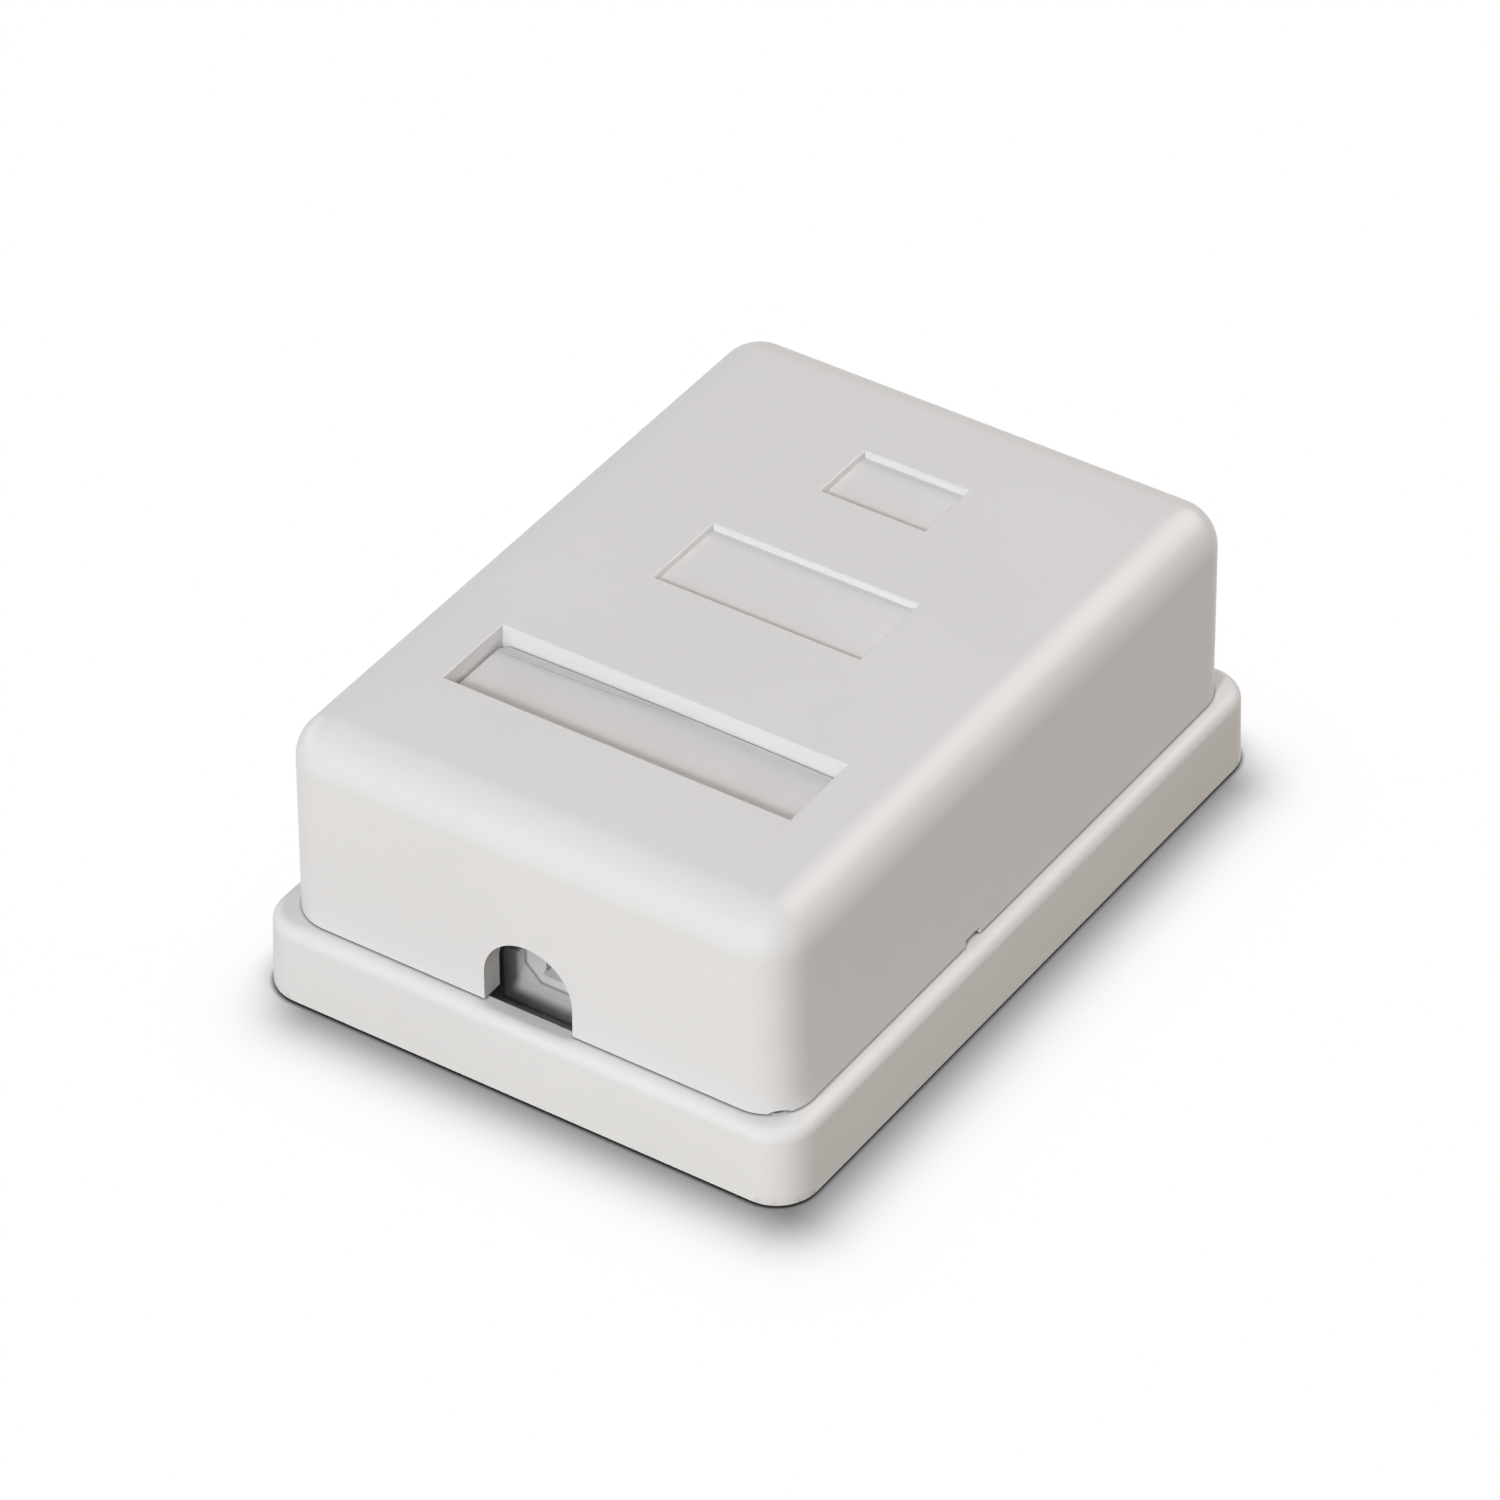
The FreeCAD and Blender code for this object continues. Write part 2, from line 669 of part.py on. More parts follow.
def contact_path(x, tail_y):
    """Middle line of one contact: up from the board, forward, curled back down."""
    top = jack_top - chamber_roof - contact_cover - contact_thickness / 2
    bend, curl = contact_bend_cut, contact_curl_radius
    curl_y = jack_front - chamber_front_wall - contact_front_gap - curl
    last = math.radians(contact_slope - 90)
    points = [(tail_y, board_bottom - tail_length), (tail_y, top - bend), (tail_y + bend, top)]
    for step in range(contact_curl_bends + 1):
        angle = math.pi / 2 + (last - math.pi / 2) * step / contact_curl_bends
        points.append((curl_y + curl * math.cos(angle), top - curl + curl * math.sin(angle)))
    end_y, end_z = points[-1]
    points.append((end_y - contact_reach,
                   end_z - contact_reach * math.tan(math.radians(contact_slope))))
    return Part.makePolygon([Vector(x, y, z) for y, z in points])


def jack_contact_wires(centre_x):
    """The eight sprung contacts of one jack."""
    wires = []
    for x, tail_y in tail_places(centre_x):
        path = contact_path(x, tail_y)
        half_x, half_y = contact_width / 2, contact_thickness / 2
        z = board_bottom - tail_length
        section = Part.makePolygon([Vector(x + dx, tail_y + dy, z) for dx, dy in (
            (-half_x, -half_y), (half_x, -half_y), (half_x, half_y), (-half_x, half_y),
            (-half_x, -half_y))])
        wires.append(path.makePipeShell([section], True, False, 1))
    return wires


def make_jack_carrier(centre_x, wires):
    """Insert that holds the contacts: rear wall, top plate and a comb for their tips."""
    gap = carrier_clearance
    half = chamber_width / 2 - gap
    roof = jack_top - chamber_roof
    rear = jack_rear + gap
    wall_front = rear + carrier_wall
    body = block(centre_x - half, centre_x + half, rear, wall_front, board_top, roof)
    plate_front = jack_front - chamber_front_wall - carrier_plate_setback
    body = body.fuse(block(centre_x - half, centre_x + half, rear,
                           plate_front - contact_curl_radius, roof - carrier_plate, roof))
    comb_low = roof - carrier_plate - carrier_comb_height
    body = body.fuse(block(centre_x - half, centre_x + half, wall_front - 0.1,
                           wall_front + carrier_comb_depth, comb_low, roof))
    for x, _ in tail_places(centre_x):
        body = body.cut(block(x - contact_width / 2 - gap, x + contact_width / 2 + gap, wall_front,
                              wall_front + carrier_comb_depth + 1, comb_low - 1,
                              roof - carrier_plate))
    return body.cut(Part.makeCompound(wires)).removeSplitter()


# ------------------------------------------------------------- terminal block
def terminal_outline(y):
    """Forked contact seen along X: two tines with a narrow slit between them."""
    low = slab_top - terminal_root
    top = low + terminal_height
    half, slit = terminal_width / 2, terminal_slit_width / 2
    bevel = (half - slit) / 2
    slit_low = top - terminal_slit_depth
    right = [(half, top - bevel), (slit + bevel, top), (slit, top - bevel), (slit, slit_low)]
    left = [(-dy, z) for dy, z in reversed(right)]
    return [(y + dy, z) for dy, z in [(-half, low), (half, low)] + right + left]


def make_terminals(centre_x):
    """The eight forked contacts of one terminal block."""
    forks = []
    half = terminal_thickness / 2
    for x, y in terminal_places(centre_x):
        blade = prism_along_x(terminal_outline(y), x - half, x + half)
        tail = centred_block(terminal_thickness, terminal_tail_width, board_bottom - tail_length,
                             slab_top - terminal_root + 0.1, x, y)
        forks.append(blade.fuse(tail).removeSplitter())
    return forks


def comb_outline():
    """One row of pointed teeth seen along X."""
    low, slot_low = slab_top - 0.1, slab_top + wire_slot_rise
    shoulder, tip = slab_top + tooth_shoulder_height, slab_top + tooth_height
    start = block_y - block_length / 2
    points = [(start, low), (start, shoulder)]
    slots = [block_y + (index - (terminals_per_row - 1) / 2) * terminal_pitch
             for index in range(terminals_per_row)]
    half = wire_slot_width / 2
    previous = start
    for y in slots:
        middle = (previous + y - half) / 2
        points += [(middle, tip), (y - half, shoulder), (y - half, slot_low),
                   (y + half, slot_low), (y + half, shoulder)]
        previous = y + half
    end = block_y + block_length / 2
    points += [((previous + end) / 2, tip), (end, shoulder), (end, low)]
    return points


def make_terminal_block(centre_x, forks):
    """Slab on the board with two rows of teeth, cut away for the forked contacts."""
    body = centred_block(block_width, block_length, board_top, slab_top, centre_x, block_y)
    for row in range(terminal_rows):
        x = centre_x + (row - (terminal_rows - 1) / 2) * row_spacing
        body = body.fuse(prism_along_x(comb_outline(), x - row_width / 2, x + row_width / 2))
    return body.cut(Part.makeCompound(forks)).removeSplitter()


def make_terminal_cap(centre_x):
    """Cap pressed over a terminal block, with wire exits and probe slots."""
    inner_x, inner_y = block_width + 2 * cap_clearance, block_length + 2 * cap_clearance
    inner_top = slab_top + tooth_height + cap_headroom
    low, top = slab_top + tooth_height - cap_skirt, inner_top + cap_top
    cap = centred_block(inner_x + 2 * cap_wall, inner_y + 2 * cap_wall, low, top, centre_x, block_y)
    cap = cap.makeChamfer(cap_edge_bevel, edges_at_height(cap, top))
    cap = cap.cut(centred_block(inner_x, inner_y, low - 1, inner_top, centre_x, block_y))
    for x, y in terminal_places(centre_x):
        outward = 1 if x > centre_x else -1
        wall_x = centre_x + outward * (inner_x / 2 + cap_wall / 2)
        cap = cap.cut(centred_block(2 * cap_wall, cap_exit_width, low - 1, low + cap_exit_height,
                                    wall_x, y))
        cap = cap.cut(centred_block(probe_slot_width, probe_slot_length, inner_top - 1, top + 1, x, y))
    return cap


# ------------------------------------------------------------- all the pieces
def build():
    """Every piece of the box by its node's name."""
    pieces = {
        "base": make_base(),
        "mounting_tape": make_mounting_tape(),
        "cover": make_cover(),
        "cover_screw": make_cover_screw(),
        "label_card": make_label_card(),
        "label_window": make_label_window(),
        "circuit_board": make_circuit_board(),
        "board_screws": make_board_screws(),
    }
    for side, sign in SIDES.items():
        centre_x = sign * port_offset
        wires = jack_contact_wires(centre_x)
        forks = make_terminals(centre_x)
        pieces["jack_housing_" + side] = make_jack_housing(centre_x)
        pieces["jack_carrier_" + side] = make_jack_carrier(centre_x, wires)
        pieces["jack_contacts_" + side] = Part.makeCompound(wires)
        pieces["terminal_block_" + side] = make_terminal_block(centre_x, forks)
        pieces["terminal_contacts_" + side] = Part.makeCompound(forks)
        pieces["terminal_cap_" + side] = make_terminal_cap(centre_x)
    return pieces


os.makedirs("parts", exist_ok=True)
for name, shape in build().items():
    shape.exportStep(os.path.join("parts", name + ".step"))
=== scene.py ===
"""Looks of the two-port surface mount jack box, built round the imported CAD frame.

Everything is in metres, in the frame of the CAD model: +Z points away from the
wall, +Y at the jack ports and -Y at the cable entry.
"""
import math

import bmesh
import bpy
from mathutils import Matrix, Vector


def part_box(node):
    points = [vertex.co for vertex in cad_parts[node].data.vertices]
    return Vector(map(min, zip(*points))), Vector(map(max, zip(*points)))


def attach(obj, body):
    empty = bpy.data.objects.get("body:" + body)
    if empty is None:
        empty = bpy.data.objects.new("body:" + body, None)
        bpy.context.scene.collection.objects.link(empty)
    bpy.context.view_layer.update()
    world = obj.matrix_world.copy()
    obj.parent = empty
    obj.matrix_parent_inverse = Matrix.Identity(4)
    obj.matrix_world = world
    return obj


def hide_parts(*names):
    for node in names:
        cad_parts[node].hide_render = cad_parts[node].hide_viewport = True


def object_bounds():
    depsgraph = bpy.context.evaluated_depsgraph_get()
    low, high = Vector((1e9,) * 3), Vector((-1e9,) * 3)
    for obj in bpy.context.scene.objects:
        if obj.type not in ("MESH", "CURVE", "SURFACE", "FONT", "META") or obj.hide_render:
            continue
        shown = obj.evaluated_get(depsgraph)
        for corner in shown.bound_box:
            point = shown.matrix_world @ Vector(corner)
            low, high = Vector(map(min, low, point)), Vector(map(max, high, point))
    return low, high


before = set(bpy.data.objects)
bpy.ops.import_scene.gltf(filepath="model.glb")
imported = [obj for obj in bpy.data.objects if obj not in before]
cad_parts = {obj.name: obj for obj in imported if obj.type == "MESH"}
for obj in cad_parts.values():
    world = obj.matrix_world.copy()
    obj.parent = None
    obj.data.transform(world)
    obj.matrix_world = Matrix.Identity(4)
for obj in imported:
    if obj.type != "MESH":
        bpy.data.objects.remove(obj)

CAD_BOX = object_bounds()
MM = 0.001

# ------------------------------------------------------------------ the view
CAMERA_AZIMUTH = 33.83          # degrees, 0 looks along +Y
CAMERA_ELEVATION = 38.31
CAMERA_ROLL = -0.37
CAMERA_SENSOR = 36.0            # mm
CAMERA_LENS = 193.135           # mm
CAMERA_DISTANCE = 0.6203
CAMERA_ASIDE = -1.133 * MM      # aim, across the view
CAMERA_ALONG = 1.890 * MM       # aim, up the view
CAMERA_AIM_HEIGHT = 9.066 * MM
CAMERA_CLIP = (0.01, 20.0)

# Softboxes: azimuth and elevation seen from the part, distance, width and height
# in metres, and the share of full white that each gives a surface facing it.
SOFTBOXES = {
    "key": (14.0, 33.0, 0.9, 0.11, 0.11, 0.46),
    "front": (2.0, 29.0, 0.9, 0.80, 0.50, 0.45),
    "back": (161.0, 38.0, 0.9, 0.60, 0.66, 0.55),
    "low_fill": (-92.0, 9.0, 0.9, 0.90, 0.26, 0.20),
}
# Lamps that aren't white, and lamps whose mirror image would show on the round corners.
SOFTBOX_TINTS = {"front": (0.985, 1.02, 1.09), "back": (1.01, 0.965, 0.945)}
UNMIRRORED = ("key", "front")
SKY_COLOUR = (1.0, 0.94, 0.86)
SKY_LEVEL = 0.12

FLOOR_SIZE = 4.0
FLOOR_COLOUR = (0.39, 0.335, 0.255)     # what the floor throws back on the part
FLOOR_GAP = 0.02 * MM
# Painted shadow that the camera sees on the floor, round a foot with these corners.
FOOT_CORNER = 3.6 * MM
SHADE_SHIFT = (2.28 * MM, -2.19 * MM)
SHADE_DEPTH = 0.889
SHADE_WIDTH = 3.5 * MM
SHADE_START = -0.18 * MM
ERROR_CURVE = 2.35              # a logistic curve this steep passes for an error function
CONTACT_SHADE = 2.5 * MM
# painted contact shadow: a dark line right under the foot
FOOT_SHADOW_REACH = 0.6 * MM            # the dark line right under the foot
FOOT_SHADOW_POWER = 3.0
# Painted shade in seams: occlusion darkens the plastic's colour where another piece stands close.
SEAM_SHADE_POWER = 1.3
SEAM_SHADE_TONE = 0.1                 # share of its own colour left where two pieces meet


# ------------------------------------------------------------------ materials
class Nodes:
    """Short ways to build a material's node tree."""

    # sockets of a Mix node set to colours
    MIX_SHARE, MIX_FIRST, MIX_SECOND, MIX_RESULT = 0, 6, 7, 2

    def __init__(self, name):
        self.material = bpy.data.materials.new(name)
        self.material.use_nodes = True
        self.tree = self.material.node_tree
        self.tree.nodes.clear()
        self.output = self.add("ShaderNodeOutputMaterial")

    def feed(self, socket, value):
        """Links the socket where value is another node's output, or sets its constant."""
        if isinstance(value, bpy.types.NodeSocket):
            self.tree.links.new(value, socket)
        else:
            socket.default_value = value

    def add(self, kind, inputs=None, **settings):
        node = self.tree.nodes.new(kind)
        for name, value in settings.items():
            setattr(node, name, value)
        for name, value in (inputs or {}).items():
            self.feed(node.inputs[name], value)
        return node

    def place(self):
        return self.add("ShaderNodeTexCoord").outputs["Object"]

    def stretched(self, scale):
        """The place on the object, stretched along the axes whose scale is small."""
        inputs = {"Vector": self.place(), "Scale": scale}
        return self.add("ShaderNodeMapping", inputs).outputs["Vector"]

    def noise(self, scale, detail=2.0, rough=0.5, vector=None):
        node = self.add("ShaderNodeTexNoise", {
            "Scale": scale, "Detail": detail, "Roughness": rough,
            "Vector": vector or self.place()})
        return node.outputs["Fac"]

    def open_sky(self, reach, samples):
        """1 in the open, less where something stands closer than reach."""
        node = self.add("ShaderNodeAmbientOcclusion", {"Distance": reach}, samples=samples)
        return node.outputs["AO"]

    def math(self, kind, first, second=0.0, third=0.0):
        node = self.add("ShaderNodeMath", operation=kind)
        for socket, value in zip(node.inputs, (first, second, third)):
            self.feed(socket, value)
        return node.outputs[0]

    def ramp(self, value, low, high, start=0.0, end=1.0):
        """A colour or grey that runs from low to high as value runs from start to end."""
        node = self.add("ShaderNodeValToRGB", {"Fac": value})
        node.color_ramp.elements[0].position = start
        node.color_ramp.elements[1].position = end
        node.color_ramp.elements[0].color = colour(low)
        node.color_ramp.elements[1].color = colour(high)
        return node.outputs["Color"]

    def span(self, value, low, high):
        """A number that runs from low to high as value runs from 0 to 1."""
        return self.math("MULTIPLY_ADD", value, high - low, low)

    def mix(self, share, first, second):
        node = self.add("ShaderNodeMix", data_type="RGBA")
        self.feed(node.inputs[self.MIX_SHARE], share)
        for index, value in ((self.MIX_FIRST, first), (self.MIX_SECOND, second)):
            linked = isinstance(value, bpy.types.NodeSocket)
            self.feed(node.inputs[index], value if linked else colour(value))
        return node.outputs[self.MIX_RESULT]

    def bump(self, height, depth, strength=1.0, normal=None):
        inputs = {"Height": height, "Distance": depth, "Strength": strength}
        if normal is not None:
            inputs["Normal"] = normal
        return self.add("ShaderNodeBump", inputs).outputs["Normal"]

    def plastic(self, **inputs):
        shader = self.add("ShaderNodeBsdfPrincipled", inputs={
            name.replace("_", " "): value for name, value in inputs.items()})
        self.tree.links.new(shader.outputs["BSDF"], self.output.inputs["Surface"])
        return self.material


def colour(value):
    """Four numbers from a grey, three numbers or four."""
    if isinstance(value, (int, float)):
        return (value, value, value, 1.0)
    return tuple(value) if len(value) == 4 else (*value, 1.0)


def moulded(name, shade, rough, depth=0.004 * MM, patch=0.02, seam_shade_reach=0.0, **more):
    """Moulded plastic: faint patches of colour, a fine satin grain and uneven gloss.

    Where a seam reach is given, painted shade darkens its colour where something stands closer
    than that.
    """
    nodes = Nodes(name)
    patches = nodes.noise(scale=55.0, detail=3.0, rough=0.55)
    fine = nodes.noise(scale=2600.0, detail=2.0, rough=0.6)
    low = [channel * (1.0 - patch) for channel in shade]
    high = [min(1.0, channel * (1.0 + patch)) for channel in shade]
    base = nodes.ramp(patches, low, high, start=0.3, end=0.7)
    if seam_shade_reach:
        # painted shade: occlusion darkens the colour in seams and crevices
        light = nodes.math("POWER", nodes.open_sky(seam_shade_reach, samples=8), SEAM_SHADE_POWER)
        base = nodes.mix(light, [channel * SEAM_SHADE_TONE for channel in shade], base)
    uneven = nodes.noise(scale=120.0, detail=3.0, rough=0.6)
    gloss = nodes.span(uneven, rough - 0.05, rough + 0.05)
    swell = nodes.noise(scale=38.0, detail=2.0, rough=0.5)
    waves = nodes.bump(swell, depth=0.02 * MM, strength=0.35)
    grainy = nodes.bump(fine, depth, strength=0.6, normal=waves)
    return nodes.plastic(Base_Color=base, Roughness=gloss, Normal=grainy, **more)


def metal(name, shade, rough, spots=0.12):
    """Metal with drawing marks and faint spots of wear."""
    nodes = Nodes(name)
    along = nodes.stretched((1.0, 1.0, 0.12))
    marks = nodes.noise(scale=3600.0, detail=3.0, rough=0.6, vector=along)
    wear = nodes.noise(scale=700.0, detail=3.0, rough=0.6)
    low = [channel * (1.0 - spots) for channel in shade]
    base = nodes.ramp(wear, low, shade, start=0.35, end=0.65)
    gloss = nodes.span(marks, rough - 0.08, rough + 0.12)
    scratches = nodes.bump(marks, depth=0.003 * MM, strength=0.5)
    return nodes.plastic(Base_Color=base, Metallic=1.0, Roughness=gloss, Normal=scratches)


def card_material():
    """White card: paper fibres and a faint warm mottle."""
    nodes = Nodes("card")
    along = nodes.stretched((0.35, 1.0, 1.0))
    fibres = nodes.noise(scale=5200.0, detail=4.0, rough=0.7, vector=along)
    mottle = nodes.noise(scale=900.0, detail=3.0, rough=0.6)
    base = nodes.mix(
        0.5,
        nodes.ramp(fibres, (0.60, 0.58, 0.56), (0.68, 0.66, 0.64), start=0.3, end=0.7),
        nodes.ramp(mottle, (0.62, 0.60, 0.58), (0.67, 0.65, 0.63), start=0.3, end=0.7))
    matt = nodes.bump(fibres, depth=0.012 * MM, strength=0.5)
    return nodes.plastic(Base_Color=base, Roughness=0.85, Normal=matt)


def window_material():
    """Clear strip that has gone milky, glossy, with fine handling marks."""
    nodes = Nodes("window")
    along = nodes.stretched((0.06, 1.0, 1.0))
    marks = nodes.noise(scale=2600.0, detail=3.0, rough=0.6, vector=along)
    haze = nodes.noise(scale=160.0, detail=3.0, rough=0.55)
    base = nodes.ramp(haze, (0.700, 0.690, 0.683), (0.722, 0.712, 0.705), start=0.3, end=0.7)
    gloss = nodes.span(marks, 0.05, 0.13)
    swell = nodes.noise(scale=45.0, detail=1.0, rough=0.4)
    wavy = nodes.bump(swell, depth=0.03 * MM, strength=0.25)
    fine = nodes.bump(marks, depth=0.0015 * MM, strength=0.3, normal=wavy)
    return nodes.plastic(Base_Color=base, Roughness=gloss, Alpha=0.97, IOR=1.49, Normal=fine,
                         Subsurface_Weight=0.6, Subsurface_Radius=(1.0, 1.0, 1.0),
                         Subsurface_Scale=1.2 * MM)


def foam_material():
    """Closed-cell foam tape."""
    nodes = Nodes("foam")
    cells = nodes.add("ShaderNodeTexVoronoi", {"Vector": nodes.place(), "Scale": 4200.0})
    away = cells.outputs["Distance"]
    base = nodes.ramp(away, (0.80, 0.79, 0.76), (0.66, 0.65, 0.62), start=0.0, end=0.6)
    pits = nodes.bump(away, depth=0.03 * MM, strength=0.7)
    return nodes.plastic(Base_Color=base, Roughness=0.9, Normal=pits)


def laminate_material():
    """Green solder mask over a woven glass board, bare laminate at its cut edges."""
    nodes = Nodes("laminate")
    threads = {"Vector": nodes.place(), "Scale": 650.0, "Distortion": 0.6}
    weave = nodes.add("ShaderNodeTexWave", threads)
    across = nodes.add("ShaderNodeTexWave", threads, bands_direction="Y")
    woven = nodes.math("MULTIPLY", weave.outputs["Fac"], across.outputs["Fac"])
    mask = nodes.ramp(woven, (0.010, 0.105, 0.038), (0.016, 0.145, 0.055))
    tint = nodes.mix(nodes.noise(scale=240.0, detail=3.0, rough=0.6), mask, (0.013, 0.12, 0.05))
    facing = nodes.add("ShaderNodeNewGeometry").outputs["Normal"]
    split = nodes.add("ShaderNodeSeparateXYZ", {"Vector": facing})
    flat = nodes.math("GREATER_THAN", nodes.math("ABSOLUTE", split.outputs["Z"]), 0.5)
    base = nodes.mix(flat, (0.42, 0.36, 0.19), tint)
    relief = nodes.bump(woven, depth=0.008 * MM, strength=0.5)
    return nodes.plastic(Base_Color=base, Roughness=0.28, Normal=relief, Coat_Weight=0.3,
                         Coat_Roughness=0.12)


MATERIALS = {
    "box": moulded("box", (0.725, 0.717, 0.710), 0.38, depth=0.006 * MM, patch=0.013,
                   Coat_Weight=0.10, Coat_Roughness=0.25),
    # the tray's colour carries painted shade in its seam with the cover
    "tray": moulded("tray", (0.738, 0.731, 0.724), 0.46, depth=0.006 * MM, patch=0.013,
                    seam_shade_reach=0.3 * MM),
    "tape": foam_material(),
    "steel": metal("steel", (0.62, 0.62, 0.63), 0.27),
    "card": card_material(),
    "window": window_material(),
    "board": laminate_material(),
    "jack": moulded("jack", (0.012, 0.012, 0.013), 0.30, patch=0.15),
    "carrier": moulded("carrier", (0.017, 0.017, 0.018), 0.45, patch=0.15),
    "gold": metal("gold", (0.83, 0.60, 0.24), 0.16, spots=0.05),
    "terminal": moulded("terminal", (0.76, 0.74, 0.66), 0.40, patch=0.015),
    "tin": metal("tin", (0.60, 0.59, 0.56), 0.30),
    "cap": moulded("cap", (0.78, 0.775, 0.765), 0.22, patch=0.01),
    "trace": moulded("trace", (0.020, 0.175, 0.068), 0.25, patch=0.06),
    "silk": moulded("silk", (0.72, 0.72, 0.68), 0.55, patch=0.02),
}
NODE_FINISH = {
    "base": "tray", "cover": "box", "mounting_tape": "tape", "cover_screw": "steel",
    "board_screws": "steel", "label_card": "card", "label_window": "window",
    "circuit_board": "board",
}
SIDE_FINISH = {
    "jack_housing": "jack", "jack_carrier": "carrier", "jack_contacts": "gold",
    "terminal_block": "terminal", "terminal_contacts": "tin", "terminal_cap": "cap",
}
SIDES = ("left", "right")
WELD_DISTANCE = 1e-6
SMOOTH_ANGLE = math.radians(50)
FACE_WEIGHT = 90                # large faces rule the shading at a shared corner


def finish_cad_nodes():
    """Gives each CAD node its material and even shading over its tangent faces."""
    finish = dict(NODE_FINISH)
    for side in SIDES:
        finish.update({f"{name}_{side}": key for name, key in SIDE_FINISH.items()})
    for name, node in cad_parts.items():
        node.data.materials.clear()
        node.data.materials.append(MATERIALS[finish[name]])
        for polygon in node.data.polygons:
            polygon.use_smooth = True
        weld = node.modifiers.new("weld", "WELD")
        weld.merge_threshold = WELD_DISTANCE
        split = node.modifiers.new("split", "EDGE_SPLIT")
        split.split_angle = SMOOTH_ANGLE
        split.use_edge_sharp = False
        node.modifiers.new("even", "WEIGHTED_NORMAL").weight = FACE_WEIGHT


# ------------------------------------------------------------------ shapes
def new_piece(name, mesh_maker, material, body, smooth=True):
    """Object from a bmesh, riding on a body and taking its material from MATERIALS."""
    bm = bmesh.new()
    mesh_maker(bm)
    bmesh.ops.recalc_face_normals(bm, faces=bm.faces)
    mesh = bpy.data.meshes.new(name)
    bm.to_mesh(mesh)
    bm.free()
    for polygon in mesh.polygons:
        polygon.use_smooth = smooth
    mesh.materials.append(MATERIALS[material])
    piece = bpy.data.objects.new(name, mesh)
    bpy.context.scene.collection.objects.link(piece)
    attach(piece, body)
    if smooth:
        split = piece.modifiers.new("split", "EDGE_SPLIT")
        split.split_angle = SMOOTH_ANGLE
        piece.modifiers.new("even", "WEIGHTED_NORMAL").weight = FACE_WEIGHT
    return piece


def ring_rows(bm, rows, close_start=True, close_end=True):
    """Skin through rows of points, each row closed on itself."""
    made = [[bm.verts.new(point) for point in row] for row in rows]
    for first, second in zip(made, made[1:]):
        count = len(first)
        for index in range(count):
            after = (index + 1) % count
            bm.faces.new((first[index], first[after], second[after], second[index]))
    if close_start:
        bm.faces.new(list(reversed(made[0])))
    if close_end:
        bm.faces.new(made[-1])


def arc_points(centre, radius, start, end, steps):
    """Points on an arc in the (y, z) plane, angles in degrees."""
    points = []
    for step in range(steps + 1):
        angle = math.radians(start + (end - start) * step / steps)
        points.append((centre[0] + radius * math.cos(angle), centre[1] + radius * math.sin(angle)))
    return points


SECTION_CUT = 0.22              # corner cut as a share of a wire's thickness


def wire_rows(path, x, width, thickness):
    """Rows of a wire that follows a path in (y, z)."""
    rows = []
    for index, (y, z) in enumerate(path):
        back = path[max(index - 1, 0)]
        ahead = path[min(index + 1, len(path) - 1)]
        along = Vector((0.0, ahead[0] - back[0], ahead[1] - back[1])).normalized()
        normal = Vector((0.0, -along.z, along.y))
        rows.append([Vector((x, y, z)) + Vector((dx, 0, 0)) + normal * dn
                     for dx, dn in rounded_section(width, thickness)])
    return rows


def rounded_section(width, thickness):
    """Eight corners of a rectangle with its corners cut."""
    half_w, half_t = width / 2, thickness / 2
    cut = thickness * SECTION_CUT
    return [(half_w, -half_t + cut), (half_w, half_t - cut), (half_w - cut, half_t),
            (-half_w + cut, half_t), (-half_w, half_t - cut), (-half_w, -half_t + cut),
            (-half_w + cut, -half_t), (half_w - cut, -half_t)]


# ------------------------------------------------------------------ contacts
CONTACT_COUNT = 8
CONTACT_WIDTH = 0.45 * MM
CONTACT_THICKNESS = 0.30 * MM
CONTACT_BEND = 0.60 * MM
CONTACT_CURL = 0.80 * MM
CONTACT_SLOPE = 10.5            # degrees below level
CONTACT_REACH = 8.5 * MM        # length of the sloping run
CONTACT_STAGGER = 2.0 * MM      # every second tail stands this far back
CONTACT_FOOT = 0.6 * MM
BEND_STEPS = 7
CURL_STEPS = 14


def contact_tails(side):
    """Places (x, y) where the contacts of one jack stand in the board."""
    low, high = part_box("jack_contacts_" + side)
    pitch = (high.x - low.x - CONTACT_WIDTH) / (CONTACT_COUNT - 1)
    return [(low.x + CONTACT_WIDTH / 2 + index * pitch,
             low.y + CONTACT_THICKNESS / 2 + (index % 2) * CONTACT_STAGGER)
            for index in range(CONTACT_COUNT)]


def jack_contacts(side):
    """Sprung contacts drawn as smooth plated wires."""
    node = "jack_contacts_" + side
    low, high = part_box(node)
    top = high.z - CONTACT_THICKNESS / 2
    curl_y = high.y - CONTACT_THICKNESS / 2 - CONTACT_CURL
    drop = math.tan(math.radians(CONTACT_SLOPE))

    def make(bm):
        for x, y in contact_tails(side):
            path = [(y, low.z), (y, low.z + CONTACT_FOOT), (y, (low.z + top) / 2)]
            path += arc_points((y + CONTACT_BEND, top - CONTACT_BEND), CONTACT_BEND,
                               180, 90, BEND_STEPS)
            path += arc_points((curl_y, top - CONTACT_CURL), CONTACT_CURL, 90,
                               CONTACT_SLOPE - 90, CURL_STEPS)
            end_y, end_z = path[-1]
            path += [(end_y - CONTACT_REACH * share, end_z - CONTACT_REACH * share * drop)
                     for share in (0.5, 1.0)]
            ring_rows(bm, wire_rows(path, x, CONTACT_WIDTH, CONTACT_THICKNESS))

    piece = new_piece("plated_contacts_" + side, make, "gold", "housing")
    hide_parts(node)


